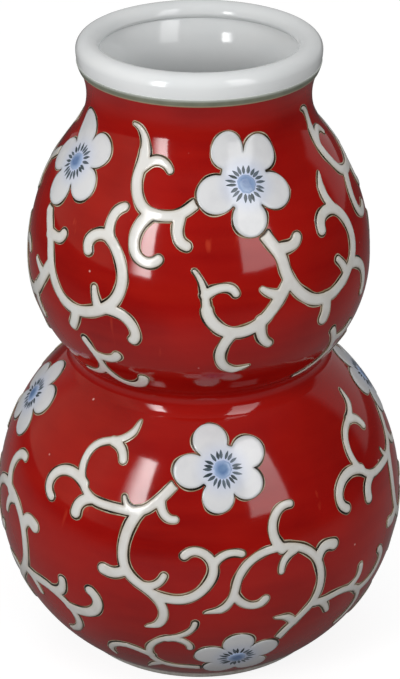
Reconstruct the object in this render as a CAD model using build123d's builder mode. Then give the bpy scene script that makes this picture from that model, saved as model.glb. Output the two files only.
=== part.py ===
"""Double gourd vase: two round bulbs joined at a waist, with raised vines and plum blossoms.

Millimetres, +Z up. The origin is the middle of the flat ring that the vase stands on.
An azimuth of 0 faces -Y, which is the front, and grows towards +X.
"""
import os
from math import asin, atan2, cos, degrees, hypot, radians, sin, sqrt

from build123d import *

# Body
WALL = 4.5
LOWER_RADIUS = 60.0
LOWER_CURVE_BELOW = 53.0
LOWER_CURVE_ABOVE = 55.5
UPPER_RADIUS = 48.5
UPPER_CURVE_BELOW = 37.0
UPPER_CURVE_ABOVE = 58.5
BULB_SPACING = 76.5
WAIST_FILLET = 5.0

# Foot and floor
FOOT_HEIGHT = 2.0
FOOT_WIDTH = 6.0
FOOT_INSET = 0.7
FOOT_EDGE = 0.6
SEAT_RADIUS = 39.7
FLOOR = 5.0

# Neck and lip
NECK_RADIUS = 31.0
NECK_HOLLOW = 18.0
LIP_OVERHANG = 2.7
LIP_FLARE = 12.5
LIP_ROLL = 3.3
BAND_WIDTH = 2.2
BAND_RELIEF = 0.25

# Raised decoration
RELIEF = 0.4
EYE_RELIEF = 0.2
EYE_RADIUS = 2.6
OUTLINE_GAP = 0.6
UPPER_PETAL_RADIUS = 5.0
UPPER_PETAL_OFFSET = 8.6
LOWER_PETAL_RADIUS = 4.7
LOWER_PETAL_OFFSET = 8.3
FOOT_PETAL_RADIUS = 4.7
FOOT_PETAL_OFFSET = 7.9


def polar(center, radius, angle):
    """Point on a circle of the half profile, as radius and height."""
    return (center[0] + radius * cos(radians(angle)), center[1] + radius * sin(radians(angle)))


def bearing(center, point):
    """Angle in degrees from a circle's centre to a point of the half profile."""
    return degrees(atan2(point[1] - center[1], point[0] - center[0])) % 360


def outer_meeting(center_a, radius_a, center_b, radius_b):
    """The crossing of two circles that lies further from the axis."""
    along_r = center_b[0] - center_a[0]
    along_z = center_b[1] - center_a[1]
    span = hypot(along_r, along_z)
    reach_along = (radius_a**2 - radius_b**2 + span**2) / (2 * span)
    reach_across = sqrt(radius_a**2 - reach_along**2)
    foot = (center_a[0] + reach_along * along_r / span, center_a[1] + reach_along * along_z / span)
    return (foot[0] + reach_across * along_z / span, foot[1] - reach_across * along_r / span)


# Arc centres of the outer half profile, from the foot up
lower_below_radius = LOWER_RADIUS - LOWER_CURVE_BELOW
LOWER_HEIGHT = FOOT_HEIGHT + sqrt(LOWER_CURVE_BELOW**2 - (SEAT_RADIUS - lower_below_radius) ** 2)
UPPER_HEIGHT = LOWER_HEIGHT + BULB_SPACING
FLOOR_TOP = FOOT_HEIGHT + FLOOR
lower_below = (lower_below_radius, LOWER_HEIGHT)
lower_above = (LOWER_RADIUS - LOWER_CURVE_ABOVE, LOWER_HEIGHT)
upper_below = (UPPER_RADIUS - UPPER_CURVE_BELOW, UPPER_HEIGHT)
upper_above = (UPPER_RADIUS - UPPER_CURVE_ABOVE, UPPER_HEIGHT)
waist = outer_meeting(
    lower_above, LOWER_CURVE_ABOVE + WAIST_FILLET, upper_below, UPPER_CURVE_BELOW + WAIST_FILLET
)
neck_reach = UPPER_CURVE_ABOVE + NECK_HOLLOW
neck_radius = NECK_RADIUS + NECK_HOLLOW
neck = (neck_radius, UPPER_HEIGHT + sqrt(neck_reach**2 - (neck_radius - upper_above[0]) ** 2))
LIP_RADIUS = NECK_RADIUS + LIP_OVERHANG
flare_radius = LIP_RADIUS - LIP_FLARE
flare_reach = NECK_HOLLOW + LIP_FLARE
flare = (flare_radius, neck[1] + sqrt(flare_reach**2 - (neck_radius - flare_radius) ** 2))
roll = (LIP_RADIUS - LIP_ROLL, flare[1])

# Angles at which one arc of the profile passes into the next
waist_from_lower = bearing(lower_above, waist)
waist_from_upper = bearing(upper_below, waist) - 360
shoulder_end = bearing(upper_above, neck)
neck_start = shoulder_end + 180
flare_start = bearing(flare, neck) - 360
neck_end = flare_start + 180

# Arcs as centre, radius, +1 where the wall bulges and -1 where it is hollow, first and last angle
LOWER_BOWL_ARCS = [(lower_below, LOWER_CURVE_BELOW, 1, None, 0)]
LOWER_SHOULDER_ARCS = [(lower_above, LOWER_CURVE_ABOVE, 1, 0, waist_from_lower)]
WAIST_ARCS = [(waist, WAIST_FILLET, -1, waist_from_lower + 180, waist_from_upper + 180)]
UPPER_BOWL_ARCS = [(upper_below, UPPER_CURVE_BELOW, 1, waist_from_upper, 0)]
UPPER_SHOULDER_ARCS = [
    (upper_above, UPPER_CURVE_ABOVE, 1, 0, shoulder_end),
    (neck, NECK_HOLLOW, -1, neck_start, neck_end),
]
NECK_INSIDE_ARCS = [UPPER_SHOULDER_ARCS[0], (neck, NECK_HOLLOW, -1, neck_start, 180)]
LOWER_ARCS = LOWER_BOWL_ARCS + LOWER_SHOULDER_ARCS
UPPER_ARCS = UPPER_BOWL_ARCS + UPPER_SHOULDER_ARCS


def offset_curve(arcs, distance, start_height=0.0):
    """Draw the profile's arcs moved outward by a distance, and give the curve's two ends."""
    ends = []
    for center, radius, bulge, first, last in arcs:
        size = radius + bulge * distance
        begin = first
        if first is None:
            begin = degrees(asin((start_height - center[1]) / size))
        CenterArc(center, size, begin, last - begin)
        ends += [polar(center, size, begin), polar(center, size, last)]
    return ends[0], ends[-1]


def wall_section(arcs, inner, outer, start_height=0.0):
    """Closed section between two offsets of the profile."""
    with BuildLine() as outline:
        outer_start, outer_end = offset_curve(arcs, outer, start_height)
        inner_start, inner_end = offset_curve(arcs, inner, start_height)
        Line(outer_start, inner_start)
        Line(outer_end, inner_end)
    make_face(outline.edges())


# Foot ring
foot_outer = SEAT_RADIUS - FOOT_INSET
with BuildPart() as foot_ring:
    with BuildSketch():
        Circle(foot_outer)
        Circle(foot_outer - FOOT_WIDTH, mode=Mode.SUBTRACT)
    extrude(amount=FOOT_HEIGHT)
    chamfer(foot_ring.edges().group_by(Axis.Z)[0], FOOT_EDGE)

# Floor slab, its rim following the bulb's curve
slab_start = degrees(asin((FOOT_HEIGHT - LOWER_HEIGHT) / LOWER_CURVE_BELOW))
slab_end = degrees(asin((FLOOR_TOP - LOWER_HEIGHT) / LOWER_CURVE_BELOW))
with BuildPart() as base_floor:
    with BuildSketch(Plane.XZ):
        with BuildLine():
            Line((0, FOOT_HEIGHT), (SEAT_RADIUS, FOOT_HEIGHT))
            CenterArc(lower_below, LOWER_CURVE_BELOW, slab_start, slab_end - slab_start)
            Line(polar(lower_below, LOWER_CURVE_BELOW, slab_end), (0, FLOOR_TOP))
            Line((0, FLOOR_TOP), (0, FOOT_HEIGHT))
        make_face()
    revolve(axis=Axis.Z)

# Lower bulb, a bowl and a shoulder joined where it is widest
with BuildPart() as lower_bowl:
    with BuildSketch(Plane.XZ):
        wall_section(LOWER_BOWL_ARCS, -WALL, 0, FLOOR_TOP)
    revolve(axis=Axis.Z)
with BuildPart() as lower_shoulder:
    with BuildSketch(Plane.XZ):
        wall_section(LOWER_SHOULDER_ARCS, -WALL, 0)
    revolve(axis=Axis.Z)

# Waist ring, the fillet that joins the bulbs
with BuildPart() as waist_joint:
    with BuildSketch(Plane.XZ):
        wall_section(WAIST_ARCS, -WALL, 0)
    revolve(axis=Axis.Z)

# Upper bulb, a bowl and a shoulder with the neck, joined where it is widest
with BuildPart() as upper_bowl:
    with BuildSketch(Plane.XZ):
        wall_section(UPPER_BOWL_ARCS, -WALL, 0)
    revolve(axis=Axis.Z)
seat_outer = polar(neck, NECK_HOLLOW, neck_end)
seat_inner = (NECK_RADIUS - WALL, seat_outer[1])
with BuildPart() as upper_shoulder:
    with BuildSketch(Plane.XZ):
        with BuildLine():
            outer_start, _ = offset_curve(UPPER_SHOULDER_ARCS, 0)
            inner_start, bore_start = offset_curve(NECK_INSIDE_ARCS, -WALL)
            Line(outer_start, inner_start)
            Line(bore_start, seat_inner)
            Line(seat_inner, seat_outer)
        make_face()
    revolve(axis=Axis.Z)

# Rolled lip, seated on the end of the neck
with BuildPart() as rolled_lip:
    with BuildSketch(Plane.XZ):
        with BuildLine():
            CenterArc(flare, LIP_FLARE, flare_start, -flare_start)
            CenterArc(roll, LIP_ROLL, 0, 180)
            Line((roll[0] - LIP_ROLL, roll[1]), seat_inner)
            Line(seat_inner, seat_outer)
        make_face()
    revolve(axis=Axis.Z)

# Glaze band round the root of the lip
band_turn = degrees(BAND_WIDTH / LIP_FLARE)
BAND_ARCS = [(flare, LIP_FLARE, 1, flare_start, flare_start + band_turn)]
with BuildPart() as neck_band:
    with BuildSketch(Plane.XZ):
        wall_section(BAND_ARCS, 0, BAND_RELIEF)
    revolve(axis=Axis.Z)

# Thin layers on the bulbs that the decoration is cut from
with BuildPart() as upper_layer:
    with BuildSketch(Plane.XZ):
        wall_section(UPPER_ARCS, 0, RELIEF)
    revolve(axis=Axis.Z)
with BuildPart() as lower_layer:
    with BuildSketch(Plane.XZ):
        wall_section(LOWER_ARCS, 0, RELIEF, FLOOR_TOP)
    revolve(axis=Axis.Z)
with BuildPart() as upper_eye_layer:
    with BuildSketch(Plane.XZ):
        wall_section(UPPER_ARCS, RELIEF, RELIEF + EYE_RELIEF)
    revolve(axis=Axis.Z)
with BuildPart() as lower_eye_layer:
    with BuildSketch(Plane.XZ):
        wall_section(LOWER_ARCS, RELIEF, RELIEF + EYE_RELIEF, FLOOR_TOP)
    revolve(axis=Axis.Z)


def direction(azimuth, elevation):
    """Unit vector from a bulb's centre."""
    level = cos(radians(elevation))
    return Vector(level * sin(radians(azimuth)), -level * cos(radians(azimuth)), sin(radians(elevation)))


def reach(height, elevation):
    """Distance from the centre of the bulb at a height to its outer face."""
    upward = elevation >= 0
    if height == UPPER_HEIGHT:
        center, radius = (upper_above, UPPER_CURVE_ABOVE) if upward else (upper_below, UPPER_CURVE_BELOW)
        shoulder_top = polar(upper_above, UPPER_CURVE_ABOVE, shoulder_end)
        if elevation > bearing((0, UPPER_HEIGHT), shoulder_top):
            rise = neck[1] - UPPER_HEIGHT
            along = neck[0] * cos(radians(elevation)) + rise * sin(radians(elevation))
            return along - sqrt(along**2 - (neck[0] ** 2 + rise**2 - NECK_HOLLOW**2))
    else:
        center, radius = (lower_above, LOWER_CURVE_ABOVE) if upward else (lower_below, LOWER_CURVE_BELOW)
    along = center[0] * cos(radians(elevation))
    return along + sqrt(radius**2 - (center[0] * sin(radians(elevation))) ** 2)


def panel(height, azimuth, elevation):
    """Drawing plane through a bulb's centre that faces one way."""
    level = Vector(cos(radians(azimuth)), sin(radians(azimuth)), 0)
    return Plane(origin=(0, 0, height), x_dir=level, z_dir=direction(azimuth, elevation))


def on_panel(plane, azimuth, elevation):
    """Where a surface point, seen square to the panel, falls on it."""
    height = plane.origin.Z
    point = plane.origin + direction(azimuth, elevation) * reach(height, elevation)
    flat = plane.to_local_coords(point)
    return Vector(flat.X, flat.Y)


def stroke(plane, points, start_width, end_width):
    """A brush stroke along surface points, of true width on the bulb, with round ends."""
    radius = reach(plane.origin.Z, degrees(asin(plane.z_dir.Z)))
    spine = Spline(*[on_panel(plane, *point) for point in points], mode=Mode.PRIVATE)
    left = []
    right = []
    for station in range(len(points)):
        share = station / (len(points) - 1)
        middle = spine.position_at(share)
        along = spine.tangent_at(share)
        across = Vector(-along.Y, along.X) * (start_width + (end_width - start_width) * share) / 2
        if middle.length > 0:
            outward = middle.normalized()
            tilt = 1 - sqrt(1 - min(middle.length / radius, 1) ** 2)
            across -= outward * across.dot(outward) * tilt
        left.append(middle + across)
        right.append(middle - across)
    heel = spine.position_at(0) - spine.tangent_at(0) * start_width / 2
    tip = spine.position_at(1) + spine.tangent_at(1) * end_width / 2
    with BuildLine() as outline:
        Spline(*left)
        ThreePointArc(left[-1], tip, right[-1])
        Spline(*reversed(right))
        ThreePointArc(right[0], heel, left[0])
    make_face(outline.edges())


def petal_circles(plane, blossom):
    """Middles on a panel and radii of a blossom's petals."""
    height, azimuth, elevation, petals, petal_radius, offset = blossom
    size = reach(height, elevation)
    circles = []
    for turn, length, breadth in petals:
        rise = degrees(offset * length * sin(radians(turn)) / size)
        level = size * cos(radians(elevation + rise / 2))
        swing = degrees(offset * length * cos(radians(turn)) / level)
        circles.append((on_panel(plane, azimuth + swing, elevation + rise), petal_radius * breadth))
    return circles


def turned(blossoms):
    """The same blossoms on the back half."""
    return [(height, azimuth + 180, *rest) for height, azimuth, *rest in blossoms]


def raised_vine(height, strokes, layer, blossoms, place):
    """One vine cut from a bulb's layer, kept clear of the blossoms that it springs from."""
    swing, rise, share = place
    moved = [
        ([(a + swing, e + rise) for a, e in points], wide * share, thin * share)
        for points, wide, thin in strokes
    ]
    every = [point for points, _, _ in moved for point in points]
    middle_azimuth = (min(a for a, _ in every) + max(a for a, _ in every)) / 2
    middle_elevation = (min(e for _, e in every) + max(e for _, e in every)) / 2
    plane = panel(height, middle_azimuth, middle_elevation)
    with BuildPart() as vine:
        with BuildSketch(plane):
            for points, wide, thin in moved:
                stroke(plane, points, wide, thin)
            for blossom in blossoms + turned(blossoms):
                if direction(*blossom[1:3]).dot(plane.z_dir) < 0:
                    continue
                for middle, radius in petal_circles(plane, blossom):
                    with Locations(middle):
                        Circle(radius + OUTLINE_GAP, mode=Mode.SUBTRACT)
        extrude(amount=2 * LOWER_RADIUS)
        add(layer, mode=Mode.INTERSECT)
    return vine.part


def raised_blossom(blossom, layer):
    """A five-petalled blossom cut from a bulb's layer, filled between the middles of its round petals."""
    plane = panel(*blossom[:3])
    circles = petal_circles(plane, blossom)
    with BuildPart() as flower:
        with BuildSketch(plane):
            Polygon(*[middle for middle, _ in circles], align=None)
            for middle, radius in circles:
                with Locations(middle):
                    Circle(radius)
        extrude(amount=2 * LOWER_RADIUS)
        add(layer, mode=Mode.INTERSECT)
    return flower.part


def raised_eye(blossom, layer):
    """The round eye on a blossom, cut from the layer above it."""
    height, azimuth, elevation = blossom[:3]
    with BuildPart() as eye:
        with BuildSketch(panel(height, azimuth, elevation)):
            Circle(EYE_RADIUS)
        extrude(amount=2 * LOWER_RADIUS)
        add(layer, mode=Mode.INTERSECT)
    return eye.part


# Petals as direction, and shares of the common length and breadth, as brushed
FRONT_UPPER_PETALS = [(-94, 1.08, 0.95), (-22, 0.88, 1), (52, 1.06, 0.9), (114, 1.08, 0.88), (194, 1, 1.04)]
SIDE_UPPER_PETALS = [(-102, 1, 1), (-30, 0.96, 0.94), (40, 0.95, 0.94), (114, 1.04, 1), (186, 1, 1)]
FRONT_LOWER_PETALS = [
    (-178, 1.04, 1.02), (-102, 0.93, 0.94), (-34, 0.92, 0.98), (28, 1.06, 0.98), (109, 1.06, 1.02)
]
SIDE_LOWER_PETALS = [(20, 1, 1), (92, 1, 1), (164, 1, 1), (236, 1, 1), (308, 1, 1)]
FOOT_PETALS = [(20, 0.98, 0.97), (92, 0.95, 0.97), (164, 1, 1), (236, 1, 1), (308, 1, 1)]

# Blossoms as height of the bulb, azimuth, elevation, petals, petal radius and offset
UPPER_BLOSSOMS = [
    (UPPER_HEIGHT, 19.6, 43.8, FRONT_UPPER_PETALS, UPPER_PETAL_RADIUS, UPPER_PETAL_OFFSET),
    (UPPER_HEIGHT, -62.4, 42.9, SIDE_UPPER_PETALS, UPPER_PETAL_RADIUS, UPPER_PETAL_OFFSET),
]
LOWER_BLOSSOMS = [
    (LOWER_HEIGHT, 7.4, 34.1, FRONT_LOWER_PETALS, LOWER_PETAL_RADIUS, LOWER_PETAL_OFFSET),
    (LOWER_HEIGHT, -82.4, 35.0, SIDE_LOWER_PETALS, LOWER_PETAL_RADIUS, LOWER_PETAL_OFFSET),
]
FOOT_BLOSSOMS = [
    (LOWER_HEIGHT, 11.7, -26.9, FOOT_PETALS, FOOT_PETAL_RADIUS, FOOT_PETAL_OFFSET),
    (LOWER_HEIGHT, -78.3, -26.9, FOOT_PETALS, FOOT_PETAL_RADIUS, FOOT_PETAL_OFFSET),
]

# Strokes as azimuth and elevation of their points in degrees, then first and last width
STEM_VINE = [
    ([(22.5, 29), (25.5, 24.5), (28, 20), (29, 15.5), (30.8, 11.5), (34.5, 6.8), (40, 3.3), (46, 2.6),
      (52, 4.3), (57, 7.4), (60.8, 11), (62.8, 15.5), (62.6, 20.5), (60.6, 25), (56.5, 28.7),
      (51.5, 29.6), (47.8, 27.6), (47, 24.6)], 3.3, 3.0),
    ([(57, 28.5), (54.6, 32.5), (54.2, 36.5), (56.3, 40.2)], 3.0, 2.3),
    ([(26.8, 22.4), (30, 22.9), (33, 23.2), (35.3, 25.2)], 3.2, 2.7),
    ([(29.8, 12.5), (27, 8.5), (23.5, 4), (19.5, 0.3), (14.5, -2.1), (9.5, -2.1), (4.7, 0.8), (2.1, 5.8)],
     3.4, 3.1),
    ([(4.7, 0.8), (2.1, 5.8), (1.6, 10.6), (0.4, 15), (-1.9, 18.6)], 3.1, 0.9),
    ([(1.9, 11), (5.4, 12.8), (8.6, 13.1), (11.5, 10.9)], 2.6, 1.9),
    ([(26, 8.4), (23, 9.6), (20.4, 11.3)], 3.0, 1.6),
    ([(19.6, 1), (19.6, -3), (20.6, -6), (22.6, -8.2)], 3.2, 2.2),
    ([(10.5, -2.4), (7.6, -6.5), (6.4, -11.5), (8.2, -15.8), (11.6, -17.7), (15.3, -16.8)], 3.0, 2.2),
    ([(44.8, 2.6), (45, -1.4), (44, -4.7)], 3.3, 3.4),
    ([(56, 7.4), (54.5, 10.4), (52.2, 13.2)], 2.8, 1.8),
    ([(59, 9), (64, 7.8), (68, 4.6), (69.5, 0), (68.6, -4.5)], 3.0, 2.5),
]
SIDE_STEM_VINE = [
    ([(-65.5, 25.3), (-62, 20.8), (-59.2, 16.3), (-57.8, 12), (-55.8, 7.5), (-52.5, 3), (-47.5, -0.4),
      (-41.5, -1.1), (-35.5, 0.5), (-30, 3.6), (-26.6, 7.6), (-25.2, 12), (-25.5, 16.8), (-27.4, 21),
      (-30.6, 24.6), (-35, 26.3), (-38.6, 24.8), (-40.2, 22.4), (-39.8, 20)], 3.3, 2.9),
    ([(-31.4, 25.2), (-32.7, 28), (-32.6, 31), (-31.3, 34), (-28.8, 35.8)], 3.0, 2.4),
    ([(-61.2, 18.7), (-58, 19.2), (-55, 19.5), (-52.7, 21.5)], 3.2, 2.7),
    ([(-58.2, 8.8), (-61, 4.8), (-64.5, 0.3), (-68.5, -3.4), (-73.5, -5.8), (-78.5, -5.8), (-83.3, -2.9),
      (-85.9, 2.1)], 3.4, 3.1),
    ([(-83.3, -2.9), (-85.9, 2.1), (-86.4, 6.9), (-87.6, 11.3), (-89.9, 14.9)], 3.1, 0.9),
    ([(-86.1, 7.3), (-82.6, 9.1), (-79.4, 9.4), (-76.5, 7.2)], 2.6, 1.9),
    ([(-62, 4.7), (-65, 5.9), (-67.6, 7.6)], 3.0, 1.6),
    ([(-68.4, -2.7), (-68.4, -6.7), (-67.4, -9.7), (-65.4, -11.9)], 3.2, 2.2),
    ([(-77.5, -6.1), (-80.4, -10.2), (-81.6, -15.2), (-79.8, -19.5), (-76.4, -21.4), (-72.7, -20.5)],
     3.0, 2.2),
    ([(-43.2, -1.4), (-44, -4.8), (-45.3, -7.6)], 3.2, 2.8),
    ([(-33.4, 1.6), (-34.7, 5.2), (-35.4, 8.8)], 3.1, 1.5),
    ([(-31, 2.8), (-27.6, 2.6), (-23.8, 1.3), (-21.2, -1.3), (-20.2, -4), (-21.1, -6.6)], 3.0, 2.7),
]
NECK_VINE = [
    ([(-33.5, 57.5), (-30, 57), (-27.6, 55.8), (-26.4, 53.6), (-26.2, 51.2)], 0.6, 3.1),
    ([(-26.3, 52.6), (-26.5, 49.6), (-27, 46), (-25.8, 41.8), (-23.3, 38), (-20.5, 36), (-17, 35),
      (-12, 34.7), (-7, 35.6), (-2.5, 38), (0.5, 40)], 3.0, 2.6),
    ([(-18, 34.9), (-21.6, 31), (-22.8, 27), (-22, 23), (-19.4, 20.5), (-16, 20), (-13.5, 21.3)], 3.3, 2.4),
    ([(-26.4, 48), (-22.4, 50.2), (-17.8, 50.8), (-14.4, 49.7), (-12.8, 48.4)], 2.9, 1.7),
    ([(-7, 35), (-7.6, 31), (-6.8, 27.8), (-4.2, 26)], 3.0, 2.5),
]
WAIST_VINE = [
    ([(-41.2, -11.8), (-39.6, -14.4), (-37.6, -18), (-36.8, -22.6), (-34.6, -27.2), (-30.4, -30.6),
      (-25.5, -30.4), (-21.9, -27.8), (-20.4, -24.3)], 2.2, 2.9),
    ([(-37.8, -17.2), (-34, -17.4), (-30.6, -16.6), (-28.4, -14.6)], 2.7, 2.6),
    ([(-36.9, -22.8), (-40.3, -27.2), (-45.5, -30), (-51, -31.2)], 2.6, 1.4),
]
SCROLL_VINE = [
    ([(-6.5, 31), (-9, 28.5), (-12.6, 25), (-17, 22.2), (-23, 21.7), (-29, 21.8), (-33.6, 22.8),
      (-36.8, 25.4), (-38.8, 29), (-39, 32.6), (-37.4, 36), (-33.8, 38.3), (-30, 39.4), (-26.6, 41),
      (-24.2, 43.3), (-23.5, 45.6)], 2.6, 1.8),
    ([(-31, 38.9), (-27.9, 37.9), (-25.5, 34.7)], 2.6, 2.3),
    ([(-36.6, 25.5), (-40.6, 27), (-45, 26.7), (-48.4, 24.3), (-49.3, 20.9), (-47.3, 18.3)], 2.9, 2.5),
    ([(-33, 22.2), (-36, 20.5), (-37.1, 17.2)], 2.7, 3.2),
    ([(-19, 21.8), (-21.4, 23.2), (-22.4, 25.2)], 2.2, 0.9),
    ([(-11.4, 26), (-10.5, 23), (-8.4, 21), (-6.7, 20.9)], 2.6, 2.0),
    ([(-17.2, 22), (-19.5, 18), (-20.8, 13), (-20.8, 8.5), (-19.3, 4.6), (-16, 1.7), (-12.6, -0.6),
      (-10.2, -4), (-9.5, -8), (-11, -11), (-14, -12.4)], 3.0, 2.5),
    ([(-20, 5.2), (-23.4, 3.6), (-26.4, 4)], 2.8, 3.3),
    ([(-15.4, 1.5), (-11.6, 2.1), (-9.3, 5)], 2.4, 1.8),
    ([(-12.2, -0.9), (-7.5, -2.1), (-2.6, -1.5), (1.7, 2), (3.8, 6), (3.5, 9.3), (1.5, 12),
      (-1.4, 12.4), (-3.9, 11.2)], 2.9, 2.3),
    ([(3.8, 8), (5.8, 10.6), (8.6, 11.7), (11.6, 11.2)], 2.3, 1.9),
]
SIDE_SCROLL_VINE = SCROLL_VINE[:-2] + [
    ([(-12.2, -0.9), (-8.8, -2), (-5.4, -1.2), (-2.8, 1.8), (-2, 5.6), (-3, 8.8), (-5.4, 10.4), (-7.6, 9.4)],
     2.9, 2.2),
]
ARCH_VINE = [
    ([(23.3, -20.5), (26.4, -15.8), (30, -12), (33, -8.3), (34.5, -4), (34.5, 1), (33.3, 5), (30.4, 8.5),
      (26, 10.7), (20.5, 11.3), (15.2, 10), (11.6, 6.8), (9.6, 2.4), (8.7, -1.6), (6.3, -4.8),
      (2.2, -6)], 2.4, 2.2),
    ([(9.3, -1), (11.6, -3.8), (15, -5), (17.8, -3.2)], 2.4, 2.2),
    ([(22.8, 10.8), (20.7, 14.5), (20.7, 18.4), (23, 21.7), (26.8, 22.6)], 2.9, 2.0),
    ([(26.4, 9.6), (23.4, 7.7), (22.3, 4.2)], 2.3, 1.6),
    ([(33.8, 5), (35.8, 7.7), (39.2, 7.3)], 2.7, 3.2),
    ([(27.3, -14.8), (25, -12), (21.7, -11)], 2.6, 2.0),
    ([(33.2, -9.4), (38, -9.9), (44, -9.8), (48.5, -11.4), (52.3, -14.6), (53.6, -18.5), (52, -22.6),
      (47.8, -25.8)], 2.6, 1.6),
    ([(46.5, -10.2), (50, -8), (50.7, -4.6)], 2.4, 2.0),
    ([(51.8, -13.8), (56.6, -13.6), (61, -11.2), (62.5, -7.6), (60.6, -4.4)], 2.7, 2.4),
    ([(35.6, -10), (37.6, -12.3), (39, -15)], 2.2, 1.6),
]
FOOT_VINE = [
    ([(-0.5, -33.6), (-6, -33), (-11, -31.9), (-14, -29.4), (-15.2, -25.8), (-14.6, -21.8), (-12.4, -18.6),
      (-9, -16.5), (-5, -15), (-2.2, -12.6), (-1.1, -9.9)], 2.5, 1.5),
    ([(-9, -16.8), (-5.2, -17), (-2.9, -19), (-2.6, -20.8)], 2.5, 1.7),
    ([(-15, -26.4), (-19, -24.5), (-23.5, -23.7), (-27.4, -25.6), (-29.2, -29), (-28.7, -31.4)], 2.5, 1.7),
    ([(-12.6, -31.4), (-15.5, -33.6), (-17.8, -36.2)], 2.4, 1.4),
]

# Where the front half repeats a vine, as a change of azimuth and elevation and a share of its width
ONCE = [(0, 0, 1)]
NECK_PLACES = [(0, 0, 1), (95, 0, 1)]
WAIST_PLACES = [(0, 0, 1), (92, 0, 1)]
SIDE_SCROLL_PLACES = [(93, -3.2, 1)]
ARCH_PLACES = [(0, 0, 1), (-91, 0, 1.25)]
FOOT_PLACES = [(0, 0, 1), (-88, -1, 1)]


def both_halves(pieces):
    """Add each piece on the front half and again on the back half."""
    with PolarLocations(0, 2):
        add(pieces)


def vine_pieces(height, strokes, layer, blossoms, places):
    """One vine for each of its places on the front half."""
    return [raised_vine(height, strokes, layer.part, blossoms, place) for place in places]


stem_pieces = vine_pieces(UPPER_HEIGHT, STEM_VINE, upper_layer, UPPER_BLOSSOMS, ONCE)
stem_pieces += vine_pieces(UPPER_HEIGHT, SIDE_STEM_VINE, upper_layer, UPPER_BLOSSOMS, ONCE)
neck_pieces = vine_pieces(UPPER_HEIGHT, NECK_VINE, upper_layer, UPPER_BLOSSOMS, NECK_PLACES)
waist_pieces = vine_pieces(UPPER_HEIGHT, WAIST_VINE, upper_layer, [], WAIST_PLACES)
scroll_pieces = vine_pieces(LOWER_HEIGHT, SCROLL_VINE, lower_layer, LOWER_BLOSSOMS, ONCE)
scroll_pieces += vine_pieces(LOWER_HEIGHT, SIDE_SCROLL_VINE, lower_layer, LOWER_BLOSSOMS, SIDE_SCROLL_PLACES)
arch_pieces = vine_pieces(LOWER_HEIGHT, ARCH_VINE, lower_layer, FOOT_BLOSSOMS, ARCH_PLACES)
foot_pieces = vine_pieces(LOWER_HEIGHT, FOOT_VINE, lower_layer, FOOT_BLOSSOMS, FOOT_PLACES)
upper_flowers = [raised_blossom(blossom, upper_layer.part) for blossom in UPPER_BLOSSOMS]
lower_flowers = [raised_blossom(blossom, lower_layer.part) for blossom in LOWER_BLOSSOMS]
foot_flowers = [raised_blossom(blossom, lower_layer.part) for blossom in FOOT_BLOSSOMS]
upper_discs = [raised_eye(blossom, upper_eye_layer.part) for blossom in UPPER_BLOSSOMS]
lower_discs = [raised_eye(blossom, lower_eye_layer.part) for blossom in LOWER_BLOSSOMS + FOOT_BLOSSOMS]

with BuildPart() as upper_stem_vines:
    both_halves(stem_pieces)
with BuildPart() as upper_neck_vines:
    both_halves(neck_pieces)
with BuildPart() as waist_vines:
    both_halves(waist_pieces)
with BuildPart() as lower_scroll_vines:
    both_halves(scroll_pieces)
with BuildPart() as lower_arch_vines:
    both_halves(arch_pieces)
with BuildPart() as foot_vines:
    both_halves(foot_pieces)
with BuildPart() as upper_blossoms:
    both_halves(upper_flowers)
with BuildPart() as lower_blossoms:
    both_halves(lower_flowers)
with BuildPart() as foot_blossoms:
    both_halves(foot_flowers)
with BuildPart() as upper_blossom_eyes:
    both_halves(upper_discs)
with BuildPart() as lower_blossom_eyes:
    both_halves(lower_discs)

PIECES = {
    "foot_ring": foot_ring,
    "base_floor": base_floor,
    "lower_bowl": lower_bowl,
    "lower_shoulder": lower_shoulder,
    "waist_joint": waist_joint,
    "upper_bowl": upper_bowl,
    "upper_shoulder": upper_shoulder,
    "rolled_lip": rolled_lip,
    "neck_band": neck_band,
    "upper_stem_vines": upper_stem_vines,
    "upper_neck_vines": upper_neck_vines,
    "waist_vines": waist_vines,
    "lower_scroll_vines": lower_scroll_vines,
    "lower_arch_vines": lower_arch_vines,
    "foot_vines": foot_vines,
    "upper_blossoms": upper_blossoms,
    "lower_blossoms": lower_blossoms,
    "foot_blossoms": foot_blossoms,
    "upper_blossom_eyes": upper_blossom_eyes,
    "lower_blossom_eyes": lower_blossom_eyes,
}

os.makedirs("parts", exist_ok=True)
for node, piece in PIECES.items():
    piece.part.label = node
    export_step(piece.part, f"parts/{node}.step")
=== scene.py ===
"""Double gourd vase: red body, white rolled lip, raised vines and plum blossoms with ink outlines.

Metres, +Z up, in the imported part's frame. An azimuth of 0 faces -Y, which is the front.
"""
import math
import random

import bpy
import numpy as np
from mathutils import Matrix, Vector
from mathutils.geometry import delaunay_2d_cdt
from mathutils.kdtree import KDTree


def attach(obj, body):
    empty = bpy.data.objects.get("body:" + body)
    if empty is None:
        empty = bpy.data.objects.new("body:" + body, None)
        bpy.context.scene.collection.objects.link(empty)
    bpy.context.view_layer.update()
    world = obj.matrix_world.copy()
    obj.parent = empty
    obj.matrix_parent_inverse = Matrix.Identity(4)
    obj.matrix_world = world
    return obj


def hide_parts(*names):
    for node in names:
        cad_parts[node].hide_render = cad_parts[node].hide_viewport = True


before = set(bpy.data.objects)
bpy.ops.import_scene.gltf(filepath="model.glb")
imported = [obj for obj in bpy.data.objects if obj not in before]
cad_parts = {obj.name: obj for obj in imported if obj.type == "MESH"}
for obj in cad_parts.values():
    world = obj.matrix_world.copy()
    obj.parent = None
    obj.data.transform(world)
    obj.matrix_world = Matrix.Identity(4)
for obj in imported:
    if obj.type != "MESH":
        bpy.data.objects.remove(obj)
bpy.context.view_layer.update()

MM = 0.001

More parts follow.
